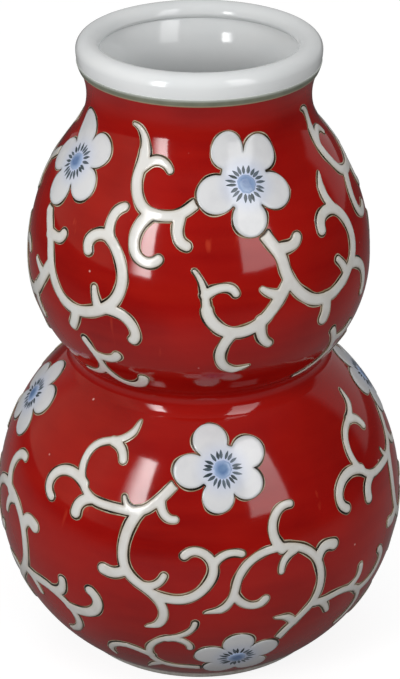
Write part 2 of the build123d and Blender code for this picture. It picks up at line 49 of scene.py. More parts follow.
# Body sizes, the same as the solids
WALL = 4.5 * MM
LOWER_RADIUS = 60 * MM
LOWER_CURVE_BELOW = 53 * MM
LOWER_CURVE_ABOVE = 55.5 * MM
UPPER_RADIUS = 48.5 * MM
UPPER_CURVE_BELOW = 37 * MM
UPPER_CURVE_ABOVE = 58.5 * MM
BULB_SPACING = 76.5 * MM
WAIST_FILLET = 5 * MM
FOOT_HEIGHT = 2 * MM
FOOT_WIDTH = 6 * MM
FOOT_INSET = 0.7 * MM
FOOT_EDGE = 0.6 * MM
SEAT_RADIUS = 39.7 * MM
FLOOR = 5 * MM
NECK_RADIUS = 31 * MM
NECK_HOLLOW = 18 * MM
LIP_OVERHANG = 2.7 * MM
LIP_FLARE = 12.5 * MM
LIP_ROLL = 3.3 * MM
BAND_WIDTH = 2.2 * MM
BAND_RELIEF = 0.25 * MM
RELIEF = 0.4 * MM
EYE_RELIEF = 0.2 * MM
EYE_RADIUS = 2.6 * MM

# Inside of the mouth: where the lip's roll ends, the groove under it and the throat below
ROLL_END = math.radians(175)
GROOVE = 1.4 * MM
THROAT_RADIUS = 24.9 * MM

# Mesh fineness: points round the vase, lengths of rows and steps, and the angle of a sharp edge
TURNS = 320
ROW = 1.2 * MM
LIP_ROW = 0.5 * MM
ROLL_ROW = 0.4 * MM
BAND_ROW = 0.3 * MM
GROOVE_ROW = 0.2 * MM
SEAM_ROW = 0.06 * MM
RIM_STEP = 0.3 * MM
GRID_STEP = 0.6 * MM
FLOOR_ROWS = 12
EYE_SIDES = 40
SHARP_ANGLE = math.radians(50)

# Limits below which points are one, a face has no area or a gap is none, and how squarely an outer face
# faces away from the body
TINY = 1e-7
WELD = 0.002 * MM
LEAST_AREA = 1e-14
LEAST_GAP = 0.05 * MM
TOP_FACING = 0.7

# Enamel: height at its rim, width of its rounded shoulder, first ring inside the rim, and buried depth
RIM_HEIGHT = 0.22 * MM
SHOULDER = 0.45 * MM
SHOULDER_INSET = 0.14 * MM
BURIED = 0.3 * MM

# Ink outline, the cream margin outside it, and the room below which ink fills a crotch
INK_WIDTH = 0.38 * MM
INK_LIGHTEST = 0.35
INK_GAIN = 1.2
INK_OVERLAP = 0.04 * MM
INK_HEIGHTS = np.array([0.2, 0.22, 0.06]) * MM
TAN_WIDTH = 0.25 * MM
TAN_SHARES = (0.05, 1.6)
TAN_OVERLAP = 0.03 * MM
TAN_HEIGHTS = np.array([0.05, 0.05, -0.02]) * MM
CROTCH = 0.6 * MM

# Blue wash round an eye: its strength, reach and fading
WASH = 0.55
WASH_REACH = 6.5 * MM
WASH_FADE = 1.5

# Eye: shares of the way out, flatness of the top, drop of the edge and unevenness of the outline
EYE_SHARES = [0, 0.25, 0.5, 0.72, 0.88, 0.97, 1, 1]
EYE_FLATNESS = 10
EYE_DROP = 0.05 * MM
EYE_UNEVEN = (0.93, 1.03)

# Stamens: number, ranges of gap to the eye, length, half width, lean, thinness of ink and place, and the
# outline and section of a stroke
STAMENS = 20
STAMEN_GAP = (0.1 * MM, 0.35 * MM)
STAMEN_LENGTH = (2.2 * MM, 2.9 * MM)
STAMEN_HALF = (0.4 * MM, 0.52 * MM)
STAMEN_LEAN = (-0.07, 0.07)
STAMEN_THIN = (0, 0.25)
STAMEN_SPACING = (-0.2, 0.2)
STAMEN_OUTLINE = ((0, 0.25), (0.2, 0.8), (0.45, 1), (0.7, 0.75), (0.9, 0.35), (1, 0.12))
STAMEN_ACROSS = np.array([-1, -0.5, 0.5, 1, 1, -1])
STAMEN_HEIGHTS = RELIEF + np.array([0.01, 0.03, 0.03, 0.01, -0.3, -0.3]) * MM

# Fine relief of the finishes
GLAZE_RELIEF = 0.05 * MM
BAND_GRAIN = 0.04 * MM
CLAY_GRAIN = 0.08 * MM
ENAMEL_GRAIN = 0.03 * MM

# Tips that the brush drew out to a point: how far back they narrow, the share of the width that is left,
# how far a round end reaches past its place, and the widest stroke that counts as the tip
TAPER = 4.5 * MM
POINT_SHARE = 0.3
ROUND_END = 1 * MM
TIP_WIDTH = 3.8 * MM

# Soft light from all round, and the shares of it from the left, from above and from behind
AMBIENT = 0.46
AMBIENT_LEFT = 0.18
AMBIENT_ABOVE = 0.1
AMBIENT_BEHIND = 0.12

# Floor: size, ends of near and far, how pale it is there, which is a painted pool of light near the vase
# and painted shade away from it, and the lift that makes it white to the camera
FLOOR_SIZE = 6
FLOOR_NEAR = 0.12
FLOOR_FAR = 0.55
NEAR_PALE_PAINTED_LIGHT = 0.28
FAR_PALE_PAINTED_SHADE = 0.08
NEAR_LIFT = 0.84
FAR_LIFT = 0.96

# What the glaze mirrors of the studio, as azimuth in degrees, brightness and how warm it is
STUDIO = [
    (-180, 0.5, 0), (-155, 0.35, 0), (-130, 0.15, 0.1), (-122, 0.3, 0.2), (-85, 0.28, 0.25),
    (-65, 0.38, 0.2), (-48, 0.15, 0.1), (-20, 0.06, 0), (20, 0.05, 0), (60, 0.04, 0), (112, 0.03, 0),
    (118, 0.32, 0), (150, 0.45, 0), (180, 0.5, 0),
]
STUDIO_ABOVE = 0.15
STUDIO_TOP = (0.6, 1.0)

# Camera: sensor in mm, focal length, picture height, middle and axis in picture points, and its place
SENSOR = 36
FOCAL_POINTS = 2106.5
PICTURE_HEIGHT = 679
PICTURE_MIDDLE = 200
AXIS_POINT = 199.24
CAMERA_ELEVATION = math.radians(27.01)
CAMERA_DISTANCE = 613.27 * MM
CAMERA_AIM = Vector((0, 0, 92.06 * MM))

random.seed(11)


def polar(center, radius, angle):
    """Point on a circle of the half profile, as radius and height."""
    return (center[0] + radius * math.cos(angle), center[1] + radius * math.sin(angle))


def bearing(center, point):
    """Angle from a circle's centre to a point of the half profile, from 0 to a full turn."""
    return math.atan2(point[1] - center[1], point[0] - center[0]) % math.tau


def meeting(center_a, radius_a, center_b, radius_b):
    """The crossing of two circles that lies on the right of the way from the first to the second."""
    along_r = center_b[0] - center_a[0]
    along_z = center_b[1] - center_a[1]
    span = math.hypot(along_r, along_z)
    reach_along = (radius_a**2 - radius_b**2 + span**2) / (2 * span)
    reach_across = math.sqrt(radius_a**2 - reach_along**2)
    foot_r = center_a[0] + reach_along * along_r / span
    foot_z = center_a[1] + reach_along * along_z / span
    return (foot_r + reach_across * along_z / span, foot_z - reach_across * along_r / span)


# Arc centres of the outer half profile, from the foot up
lower_below_radius = LOWER_RADIUS - LOWER_CURVE_BELOW
LOWER_HEIGHT = FOOT_HEIGHT + math.sqrt(LOWER_CURVE_BELOW**2 - (SEAT_RADIUS - lower_below_radius) ** 2)
UPPER_HEIGHT = LOWER_HEIGHT + BULB_SPACING
FLOOR_TOP = FOOT_HEIGHT + FLOOR
lower_below = (lower_below_radius, LOWER_HEIGHT)
lower_above = (LOWER_RADIUS - LOWER_CURVE_ABOVE, LOWER_HEIGHT)
upper_below = (UPPER_RADIUS - UPPER_CURVE_BELOW, UPPER_HEIGHT)
upper_above = (UPPER_RADIUS - UPPER_CURVE_ABOVE, UPPER_HEIGHT)
waist = meeting(
    lower_above, LOWER_CURVE_ABOVE + WAIST_FILLET, upper_below, UPPER_CURVE_BELOW + WAIST_FILLET
)
neck_reach = UPPER_CURVE_ABOVE + NECK_HOLLOW
neck_radius = NECK_RADIUS + NECK_HOLLOW
neck = (neck_radius, UPPER_HEIGHT + math.sqrt(neck_reach**2 - (neck_radius - upper_above[0]) ** 2))
LIP_RADIUS = NECK_RADIUS + LIP_OVERHANG
flare_radius = LIP_RADIUS - LIP_FLARE
flare_reach = NECK_HOLLOW + LIP_FLARE
flare = (flare_radius, neck[1] + math.sqrt(flare_reach**2 - (neck_radius - flare_radius) ** 2))
roll = (LIP_RADIUS - LIP_ROLL, flare[1])
foot_outer = SEAT_RADIUS - FOOT_INSET

# Angles at which one arc passes into the next
waist_from_lower = bearing(lower_above, waist)
waist_from_upper = bearing(upper_below, waist) - math.tau
shoulder_end = bearing(upper_above, neck)
flare_start = bearing(flare, neck) - math.tau
neck_end = flare_start + math.pi
slab_start = math.asin((FOOT_HEIGHT - LOWER_HEIGHT) / LOWER_CURVE_BELOW)
slab_end = math.asin((FLOOR_TOP - LOWER_HEIGHT) / LOWER_CURVE_BELOW)
inner_start = math.asin((FLOOR_TOP - LOWER_HEIGHT) / (LOWER_CURVE_BELOW - WALL))

# Arcs of the outside: centre, radius, +1 for a bulge or -1 for a hollow, first and last angle
LOWER_ARCS = [
    (lower_below, LOWER_CURVE_BELOW, 1, slab_end, 0),
    (lower_above, LOWER_CURVE_ABOVE, 1, 0, waist_from_lower),
]
WAIST_ARCS = [(waist, WAIST_FILLET, -1, waist_from_lower + math.pi, waist_from_upper + math.pi)]
UPPER_ARCS = [
    (upper_below, UPPER_CURVE_BELOW, 1, waist_from_upper, 0),
    (upper_above, UPPER_CURVE_ABOVE, 1, 0, shoulder_end),
    (neck, NECK_HOLLOW, -1, shoulder_end + math.pi, neck_end),
]


def arc_rows(center, radius, first, last, step=ROW):
    """Points along one arc, with a very short row at each end so that a seam keeps its shading."""
    length = abs(last - first) * radius
    count = max(2, round(length / step))
    shares = [0, SEAM_ROW / length] + [k / count for k in range(1, count)] + [1 - SEAM_ROW / length, 1]
    return [polar(center, radius, first + share * (last - first)) for share in shares]


def line_rows(start, end, count=2):
    """Points along a straight stretch of a section."""
    return [
        (start[0] + (end[0] - start[0]) * k / count, start[1] + (end[1] - start[1]) * k / count)
        for k in range(count + 1)
    ]


def wall_rows(arcs, offset):
    """Points along the profile's arcs moved outward by an offset."""
    rows = []
    for center, radius, bulge, first, last in arcs:
        rows += arc_rows(center, radius + bulge * offset, first, last)
    return rows


def lathe(name, stretches, materials):
    """Closed body of revolution. Each stretch of its section has points and a material number."""
    section = []
    for rows, material in stretches:
        for point in rows:
            if not section or math.dist(section[-1][0], point) > TINY:
                section.append((point, material))
    if math.dist(section[0][0], section[-1][0]) < TINY:
        section.pop()
    closed = section[0][0][0] > TINY
    points = []
    rings = []
    for (radius, height), _ in section:
        if radius < TINY:
            rings.append([len(points)] * TURNS)
            points.append((0, 0, height))
            continue
        rings.append(list(range(len(points), len(points) + TURNS)))
        for turn in range(TURNS):
            angle = math.tau * turn / TURNS
            points.append((radius * math.sin(angle), -radius * math.cos(angle), height))
    faces = []
    face_materials = []
    last = len(rings) if closed else len(rings) - 1
    for row in range(last):
        below = rings[row]
        above = rings[(row + 1) % len(rings)]
        material = section[(row + 1) % len(section)][1]
        for turn in range(TURNS):
            ahead = (turn + 1) % TURNS
            corners = [below[turn], below[ahead], above[ahead], above[turn]]
            faces.append(list(dict.fromkeys(corners)))
            face_materials.append(material)
    return make_piece(name, points, faces, materials, face_materials)


def make_piece(name, points, faces, materials, face_materials=None):
    """A mesh object of the vase, smooth except at sharp edges, riding on the body."""
    mesh = bpy.data.meshes.new(name)
    mesh.from_pydata(points, [], faces)
    for material in materials:
        mesh.materials.append(material)
    if face_materials is not None:
        mesh.polygons.foreach_set("material_index", face_materials)
    mesh.polygons.foreach_set("use_smooth", [True] * len(mesh.polygons))
    mesh.set_sharp_from_angle(angle=SHARP_ANGLE)
    mesh.validate()
    piece = bpy.data.objects.new(name, mesh)
    bpy.context.scene.collection.objects.link(piece)
    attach(piece, "root")
    return piece


def store(piece, name, values):
    """Keep one value for each point of a piece, for its material to read."""
    layer = piece.data.attributes.new(name, "FLOAT", "POINT")
    layer.data.foreach_set("value", np.asarray(values, np.float32))


class Outside:
    """The outer face of the bulbs and neck, measured by azimuth and by length along the profile."""

    def __init__(self, arcs):
        self.center = np.array([arc[0] for arc in arcs])
        self.radius, self.bulge, self.first, last = np.array([arc[1:] for arc in arcs]).T
        self.turn = last - self.first
        self.start = np.concatenate([[0], np.cumsum(np.abs(self.turn) * self.radius)])

    def locate(self, points):
        """Azimuth and profile length of the outside's points nearest to some points."""
        points = np.asarray(points)
        flat = np.stack([np.hypot(points[:, 0], points[:, 1]), points[:, 2]], 1)[:, None, :]
        away = flat - self.center
        middle = self.first + self.turn / 2
        swing = np.arctan2(away[..., 1], away[..., 0]) - middle
        swing -= np.round(swing / math.tau) * math.tau
        half = np.abs(self.turn) / 2
        angle = middle + np.clip(swing, -half, half)
        foot = self.center + self.radius[:, None] * np.stack([np.cos(angle), np.sin(angle)], 2)
        nearest = np.linalg.norm(flat - foot, axis=2).argmin(1)
        angle = angle[np.arange(len(points)), nearest]
        along = self.start[nearest] + np.abs(angle - self.first[nearest]) * self.radius[nearest]
        return np.arctan2(points[:, 0], -points[:, 1]), along

    def lift(self, azimuth, along, height=0.0):
        """Points at a height above the outside, and the outside's normals there."""
        arc = np.clip(np.searchsorted(self.start, along, "right") - 1, 0, len(self.radius) - 1)
        angle = self.first[arc] + np.sign(self.turn[arc]) * (along - self.start[arc]) / self.radius[arc]
        normal_r = self.bulge[arc] * np.cos(angle)
        normal_z = self.bulge[arc] * np.sin(angle)
        radius = self.center[arc, 0] + self.radius[arc] * np.cos(angle) + height * normal_r
        level = self.center[arc, 1] + self.radius[arc] * np.sin(angle) + height * normal_z
        sine = np.sin(azimuth)
        cosine = np.cos(azimuth)
        points = np.stack([radius * sine, -radius * cosine, level], 1)
        normals = np.stack([normal_r * sine, -normal_r * cosine, normal_z], 1)
        return points, normals


outside = Outside(LOWER_ARCS + WAIST_ARCS + UPPER_ARCS)

# Pointed tips: bulb's height, a place before the tip and the tip in degrees, and the pattern's repeats
ONCE = [(0, 0)]
SCROLL_REPEATS = [(0, 0), (93, -3.2)]
ARCH_REPEATS = [(0, 0), (-91, 0)]
FOOT_REPEATS = [(0, 0), (-88, -1)]
POINTED_TIPS = [
    (UPPER_HEIGHT, (54.2, 36.5), (56.3, 40.2), ONCE),
    (UPPER_HEIGHT, (11.6, -17.7), (15.3, -16.8), ONCE),
    (LOWER_HEIGHT, (-25, 42), (-23.5, 45.6), SCROLL_REPEATS),
    (LOWER_HEIGHT, (-11, -11), (-14, -12.4), SCROLL_REPEATS),
    (LOWER_HEIGHT, (6.3, -4.8), (2.2, -6), ARCH_REPEATS),
    (LOWER_HEIGHT, (25, -12), (21.7, -11), ARCH_REPEATS),
    (LOWER_HEIGHT, (-29.2, -29), (-28.7, -31.4), FOOT_REPEATS),
    (LOWER_HEIGHT, (-15.5, -33.6), (-17.8, -36.2), FOOT_REPEATS),
]


def on_bulb(height, azimuth, elevation):
    """The place on the outside, and its normal, in a direction from a bulb's centre."""
    turn = math.radians(azimuth)
    rise = math.radians(elevation)
    level = math.cos(rise)
    way = np.array([level * math.sin(turn), -level * math.cos(turn), math.sin(rise)])
    size = LOWER_RADIUS if height == LOWER_HEIGHT else UPPER_RADIUS
    points, normals = outside.lift(*outside.locate(np.array([[0, 0, height]]) + size * way))
    return points[0], normals[0]


def pointed_ends():
    """Place, direction and sideways direction of every pointed tip, front and back."""
    ends = []
    for height, before, tip, repeats in POINTED_TIPS:
        for swing, rise in repeats:
            for half in (0, 180):
                start, _ = on_bulb(height, before[0] + swing + half, before[1] + rise)
                end, normal = on_bulb(height, tip[0] + swing + half, tip[1] + rise)
                way = (end - start) / np.linalg.norm(end - start)
                ends.append((end, way, np.cross(normal, way)))
    return ends


POINTED_ENDS = pointed_ends()


def drawn_out(points):
    """Rim points with the pointed tips narrowed."""
    for end, way, side in POINTED_ENDS:
        gap = points - end
        back = ROUND_END - gap @ way
        aside = gap @ side
        near = (np.linalg.norm(gap, axis=1) < TAPER) & (back < TAPER) & (abs(aside) < TIP_WIDTH / 2)
        share = POINT_SHARE + (1 - POINT_SHARE) * np.clip(back / TAPER, 0, 1)
        points = points - np.outer(near * (1 - share) * aside, side)
    return points


BLACK = (0, 0, 0)
GREY = (0.5, 0.5, 0.5)
WHITE = (1, 1, 1)


def new_material(name, roughness):
    """A material with its node graph, shader and place in space."""
    material = bpy.data.materials.new(name)
    material.use_nodes = True
    graph = material.node_tree
    shader = graph.nodes["Principled BSDF"]
    shader.inputs["Roughness"].default_value = roughness
    shader.inputs["IOR"].default_value = 1.5
    where = graph.nodes.new("ShaderNodeTexCoord")
    return material, graph, shader, where.outputs["Object"]


def noise(graph, where, scale, detail=3.0, stretch=(1, 1, 1)):
    """A noise texture on stretched space, as its factor output."""
    mapping = graph.nodes.new("ShaderNodeMapping")
    mapping.inputs["Scale"].default_value = stretch
    graph.links.new(where, mapping.inputs["Vector"])
    texture = graph.nodes.new("ShaderNodeTexNoise")
    texture.inputs["Scale"].default_value = scale
    texture.inputs["Detail"].default_value = detail
    graph.links.new(mapping.outputs["Vector"], texture.inputs["Vector"])
    return texture.outputs["Fac"]


def ramp(graph, factor, stops):
    """A colour ramp fed by a factor, as its colour output."""
    node = graph.nodes.new("ShaderNodeValToRGB")
    elements = node.color_ramp.elements
    elements[0].position, elements[0].color = stops[0][0], (*stops[0][1], 1)
    elements[1].position, elements[1].color = stops[-1][0], (*stops[-1][1], 1)
    for position, color in stops[1:-1]:
        elements.new(position).color = (*color, 1)
    graph.links.new(factor, node.inputs["Fac"])
    return node.outputs["Color"]


def mix(graph, factor, first, second):
    """Two colours mixed by a factor."""
    node = graph.nodes.new("ShaderNodeMix")
    node.data_type = "RGBA"
    graph.links.new(factor, node.inputs["Factor"])
    for value, name in ((first, "A"), (second, "B")):
        slot = [s for s in node.inputs if s.name == name and s.type == "RGBA"][0]
        if isinstance(value, tuple):
            slot.default_value = (*value, 1)
        else:
            graph.links.new(value, slot)
    return [s for s in node.outputs if s.type == "RGBA"][0]


def map_range(graph, value, before, after):
    """A value carried smoothly from one range to another."""
    node = graph.nodes.new("ShaderNodeMapRange")
    node.interpolation_type = "SMOOTHSTEP"
    for name, number in zip(("From Min", "From Max", "To Min", "To Max"), before + after):
        node.inputs[name].default_value = number
    graph.links.new(value, node.inputs["Value"])
    return node.outputs["Result"]


def math_node(graph, operation, first, second):
    """One sum on two values, each a number or a socket."""
    node = graph.nodes.new("ShaderNodeMath")
    node.operation = operation
    for value, slot in zip((first, second), node.inputs):
        if isinstance(value, (int, float)):
            slot.default_value = value
        else:
            graph.links.new(value, slot)
    return node.outputs["Value"]


def coat(graph, shader, color, height, relief):
    """Colour and fine relief of a shader."""
    graph.links.new(color, shader.inputs["Base Color"])
    node = graph.nodes.new("ShaderNodeBump")
    node.inputs["Distance"].default_value = relief
    graph.links.new(height, node.inputs["Height"])
    graph.links.new(node.outputs["Normal"], shader.inputs["Normal"])


def attribute(graph, name):
    """A value stored on a piece's points."""
    node = graph.nodes.new("ShaderNodeAttribute")
    node.attribute_name = name
    return node.outputs["Fac"]


def red_glaze():
    """Brushed iron-red glaze, cloudy, with sparse pale pinholes and orange streaks that are painted
    reflections of thin things.
    """
    material, graph, shader, where = new_material("red_glaze", 0.08)
    clouds = noise(graph, where, 38, 4)
    color = ramp(graph, clouds, [(0.3, (0.24, 0.0025, 0.002)), (0.7, (0.36, 0.005, 0.003))])
    layers = noise(graph, where, 30, 3, (1, 1, 7))
    bands = ramp(graph, layers, [(0.35, BLACK), (0.75, GREY)])
    color = mix(graph, bands, color, (0.39, 0.011, 0.005))
    # Orange streaks: painted reflections of thin things, not marks in the glaze
    strokes = noise(graph, where, 220, 2, (1, 1, 0.1))
    painted_reflection_streaks = ramp(graph, strokes, [(0.72, BLACK), (0.8, GREY)])
    color = mix(graph, painted_reflection_streaks, color, (0.62, 0.07, 0.03))
    cells = graph.nodes.new("ShaderNodeTexVoronoi")
    cells.inputs["Scale"].default_value = 80
    graph.links.new(where, cells.inputs["Vector"])
    pinholes = ramp(graph, cells.outputs["Distance"], [(0.025, WHITE), (0.04, BLACK)])
    color = mix(graph, pinholes, color, (0.72, 0.36, 0.33))
    coat(graph, shader, color, noise(graph, where, 90, 2), GLAZE_RELIEF)
    return material


def white_glaze():
    """Cool white glaze of the lip and the inside."""
    material, graph, shader, where = new_material("white_glaze", 0.1)
    clouds = noise(graph, where, 45, 3)
    color = ramp(graph, clouds, [(0.3, (0.74, 0.76, 0.765)), (0.7, (0.80, 0.81, 0.81))])
    coat(graph, shader, color, noise(graph, where, 110, 2), GLAZE_RELIEF)
    return material


def band_glaze():
    """Grey-green line at the root of the lip, tan along its lower edge and paler at its upper."""
    material, graph, shader, where = new_material("band_glaze", 0.14)
    patches = noise(graph, where, 160, 4)
    color = ramp(graph, patches, [(0.3, (0.13, 0.145, 0.10)), (0.75, (0.22, 0.23, 0.17))])
    across = attribute(graph, "across")
    lower_edge = ramp(graph, across, [(0.08, GREY), (0.2, BLACK)])
    color = mix(graph, lower_edge, color, (0.50, 0.34, 0.20))
    upper_edge = ramp(graph, across, [(0.6, BLACK), (1.0, WHITE)])
    color = mix(graph, upper_edge, color, (0.50, 0.53, 0.49))
    coat(graph, shader, color, patches, BAND_GRAIN)
    return material


def bare_clay():
    """Unglazed foot, pale and matt with a little grit."""
    material, graph, shader, where = new_material("bare_clay", 0.7)
    grit = noise(graph, where, 900, 5)
    color = ramp(graph, grit, [(0.3, (0.42, 0.40, 0.36)), (0.7, (0.60, 0.58, 0.54))])
    coat(graph, shader, color, grit, CLAY_GRAIN)
    return material


def white_enamel(name, thick, thin, edge, washed=False):
    """Raised white enamel, clouded, duller at its edge, and blue towards an eye if washed."""
    material, graph, shader, where = new_material(name, 0.12)
    clouds = noise(graph, where, 220, 3)
    color = ramp(graph, clouds, [(0.3, thin), (0.55, thick)])
    rim = attribute(graph, "rim_mm")
    shoulder = ramp(graph, rim, [(0.15, WHITE), (0.8, BLACK)])
    color = mix(graph, shoulder, color, edge)
    brim = ramp(graph, rim, [(0.0, GREY), (0.16, BLACK)])
    color = mix(graph, brim, color, (0.44, 0.41, 0.32))
    if washed:
        color = mix(graph, attribute(graph, "wash"), color, (0.36, 0.49, 0.82))
    coat(graph, shader, color, clouds, ENAMEL_GRAIN)
    return material


def ink_line():
    """Brush line round the enamel, olive black where the brush pressed and brown where it ran dry."""
    material, graph, shader, where = new_material("ink_line", 0.25)
    dryness = noise(graph, where, 260, 4)
    full = ramp(graph, dryness, [(0.45, (0.012, 0.010, 0.006)), (0.75, (0.07, 0.045, 0.018))])
    dry = ramp(graph, dryness, [(0.35, (0.08, 0.05, 0.02)), (0.7, (0.26, 0.17, 0.085))])
    color = mix(graph, attribute(graph, "press"), dry, full)
    coat(graph, shader, color, dryness, ENAMEL_GRAIN)
    return material


def tan_edge():
    """Thin cream margin that neither the enamel nor the red covers, browner along its outer edge."""
    material, graph, shader, where = new_material("tan_edge", 0.18)
    cover = noise(graph, where, 300, 3)
    color = ramp(graph, cover, [(0.35, (0.34, 0.24, 0.14)), (0.6, (0.62, 0.52, 0.38))])
    outer = ramp(graph, attribute(graph, "across"), [(0.45, BLACK), (0.85, WHITE)])
    color = mix(graph, outer, color, (0.14, 0.045, 0.02))
    coat(graph, shader, color, cover, ENAMEL_GRAIN)
    return material


def blue_enamel():
    """Blue eye of a blossom, uneven as brushed enamel is and paler towards its edge."""
    material, graph, shader, where = new_material("blue_enamel", 0.15)
    patches = noise(graph, where, 500, 3)
    color = ramp(graph, patches, [(0.3, (0.095, 0.175, 0.37)), (0.7, (0.165, 0.27, 0.45))])
    edge = ramp(graph, attribute(graph, "across"), [(0.4, BLACK), (1.0, WHITE)])
    color = mix(graph, edge, color, (0.36, 0.47, 0.68))
    coat(graph, shader, color, patches, ENAMEL_GRAIN)
    return material


def stamen_ink():
    """Green-black strokes round a blossom's eye, thinned here and there towards a pale grey-blue."""
    material, graph, shader, where = new_material("stamen_ink", 0.25)
    dryness = noise(graph, where, 350, 3)
    color = ramp(graph, dryness, [(0.35, (0.010, 0.020, 0.022)), (0.7, (0.035, 0.06, 0.068))])
    color = mix(graph, attribute(graph, "thinned"), color, (0.36, 0.44, 0.56))
    coat(graph, shader, color, dryness, ENAMEL_GRAIN)
    return material


RED = red_glaze()
LIP = white_glaze()
BAND = band_glaze()
CLAY = bare_clay()
VINE = white_enamel("vine_enamel", (0.74, 0.73, 0.70), (0.68, 0.66, 0.62), (0.61, 0.57, 0.51))
PETAL = white_enamel(
    "petal_enamel", (0.705, 0.71, 0.72), (0.66, 0.665, 0.68), (0.57, 0.58, 0.59), washed=True
)
INK = ink_line()
TAN = tan_edge()
BLUE = blue_enamel()
STAMEN = stamen_ink()


def stand_for(piece, node):
    """A piece takes the place of a CAD node, which is hidden."""
    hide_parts(node)
    return piece


def walled(node, outer, inner):
    """A wall of the body, red outside and white inside, from its two faces' rows from the bottom up."""
    inner = inner[::-1]
    stretches = [
        (outer, 0),
        (line_rows(outer[-1], inner[0]), 0),
        (inner, 1),
        (line_rows(inner[-1], outer[0]), 0),
    ]
    return stand_for(lathe(f"{node}_glazed", stretches, [RED, LIP]), node)


def build_body():
    """Foot, floor, bulbs, waist, lip and band."""
    foot_inner = foot_outer - FOOT_WIDTH
    foot_corners = [
        (foot_inner, FOOT_HEIGHT),
        (foot_inner, FOOT_EDGE),
        (foot_inner + FOOT_EDGE, 0),
        (foot_outer - FOOT_EDGE, 0),
        (foot_outer, FOOT_EDGE),
        (foot_outer, FOOT_HEIGHT),
        (foot_inner, FOOT_HEIGHT),
    ]
    foot_rows = [(line_rows(a, b), 0) for a, b in zip(foot_corners, foot_corners[1:])]
    stand_for(lathe("foot_ring_clay", foot_rows, [CLAY]), "foot_ring")

    rim = arc_rows(lower_below, LOWER_CURVE_BELOW, slab_start, slab_end)
    floor_rows = [
        (line_rows((0, FOOT_HEIGHT), rim[0], FLOOR_ROWS), 1),
        (rim, 0),
        (line_rows(rim[-1], (0, FLOOR_TOP), FLOOR_ROWS), 1),
    ]
    stand_for(lathe("floor_slab", floor_rows, [RED, LIP]), "base_floor")

    inner_bowl = [(lower_below, LOWER_CURVE_BELOW, 1, inner_start, 0)]
    walled("lower_bowl", wall_rows(LOWER_ARCS[:1], 0), wall_rows(inner_bowl, -WALL))
    walled("lower_shoulder", wall_rows(LOWER_ARCS[1:], 0), wall_rows(LOWER_ARCS[1:], -WALL))
    walled("waist_joint", wall_rows(WAIST_ARCS, 0), wall_rows(WAIST_ARCS, -WALL))
    walled("upper_bowl", wall_rows(UPPER_ARCS[:1], 0), wall_rows(UPPER_ARCS[:1], -WALL))

    # A funnel narrows from the groove under the lip to the throat
    seat_outer = polar(neck, NECK_HOLLOW, neck_end)
    roll_end = polar(roll, LIP_ROLL, ROLL_END)
    funnel_top = (roll_end[0] + GROOVE, roll_end[1] - GROOVE)
    narrowing = funnel_top[0] - THROAT_RADIUS
    drop = funnel_top[1] - neck[1]
    funnel_radius = (drop**2 + narrowing**2) / (2 * narrowing)
    funnel = (THROAT_RADIUS + funnel_radius, neck[1])
    seat_angle = math.pi - math.asin((seat_outer[1] - neck[1]) / funnel_radius)
    throat_hollow = NECK_RADIUS + NECK_HOLLOW - THROAT_RADIUS
    inner_shoulder = wall_rows(UPPER_ARCS[1:2], -WALL)
    inner_shoulder += arc_rows(neck, throat_hollow, shoulder_end + math.pi, math.pi)
    inner_shoulder += arc_rows(funnel, funnel_radius, math.pi, seat_angle, LIP_ROW)
    walled("upper_shoulder", wall_rows(UPPER_ARCS[1:], 0), inner_shoulder)

    lip_rows = [
        (arc_rows(flare, LIP_FLARE, flare_start, 0, LIP_ROW), 0),
        (arc_rows(roll, LIP_ROLL, 0, ROLL_END, ROLL_ROW), 0),
        (arc_rows((funnel_top[0], roll_end[1]), GROOVE, math.pi, 1.5 * math.pi, GROOVE_ROW), 0),
        (arc_rows(funnel, funnel_radius, bearing(funnel, funnel_top), seat_angle, LIP_ROW), 0),
        (line_rows(inner_shoulder[-1], seat_outer), 0),
    ]
    stand_for(lathe("rolled_lip_glazed", lip_rows, [LIP]), "rolled_lip")

    band_end = flare_start + BAND_WIDTH / LIP_FLARE
    band_rows = [
        (arc_rows(flare, LIP_FLARE + BAND_RELIEF, flare_start, band_end, BAND_ROW), 0),
        (arc_rows(flare, LIP_FLARE - BAND_RELIEF, band_end, flare_start, BAND_ROW), 0),
    ]
    band = stand_for(lathe("neck_band_glaze", band_rows, [BAND]), "neck_band")
    band_low = polar(flare, LIP_FLARE, flare_start)[1]
    band_high = polar(flare, LIP_FLARE, band_end)[1]
    heights = np.array([point.co.z for point in band.data.vertices])
    store(band, "across", (heights - band_low) / (band_high - band_low))


def node_triangles(node):
    """Merged points and triangles of a CAD node."""
    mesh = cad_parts[node].data
    mesh.calc_loop_triangles()
    points = np.empty(len(mesh.vertices) * 3)
    mesh.vertices.foreach_get("co", points)
    triangles = np.empty(len(mesh.loop_triangles) * 3, np.int64)
    mesh.loop_triangles.foreach_get("vertices", triangles)
    keys = np.round(points.reshape(-1, 3) / WELD).astype(np.int64)
    _, first, same = np.unique(keys, axis=0, return_index=True, return_inverse=True)
    return points.reshape(-1, 3)[first], same.reshape(-1)[triangles].reshape(-1, 3)


def rims(node):
    """Closed rims of a raised node's outer faces, in order, with the enamel on their left."""
    points, triangles = node_triangles(node)
    corners = points[triangles]
    facing = np.cross(corners[:, 1] - corners[:, 0], corners[:, 2] - corners[:, 0])
    size = np.linalg.norm(facing, axis=1)
    sound = size > LEAST_AREA
    triangles = triangles[sound]
    facing = facing[sound] / size[sound, None]
    azimuth, along = outside.locate(corners[sound].mean(1))
    _, normals = outside.lift(azimuth, along)
    top = triangles[(facing * normals).sum(1) > TOP_FACING]
    sides = {}
    for a, b, c in top.tolist():
        for start, end in ((a, b), (b, c), (c, a)):
            if sides.pop((end, start), None) is None:
                sides[(start, end)] = True
    onward = {}
    for start, end in sides:
        onward.setdefault(start, []).append(end)
    loops = []
    while onward:
        start = next(iter(onward))
        loop = [start]
        while True:
            ends = onward[loop[-1]]
            step = ends.pop()
            if not ends:
                del onward[loop[-1]]
            if step == start:
                break
            loop.append(step)
        loops.append(points[loop])
    return loops


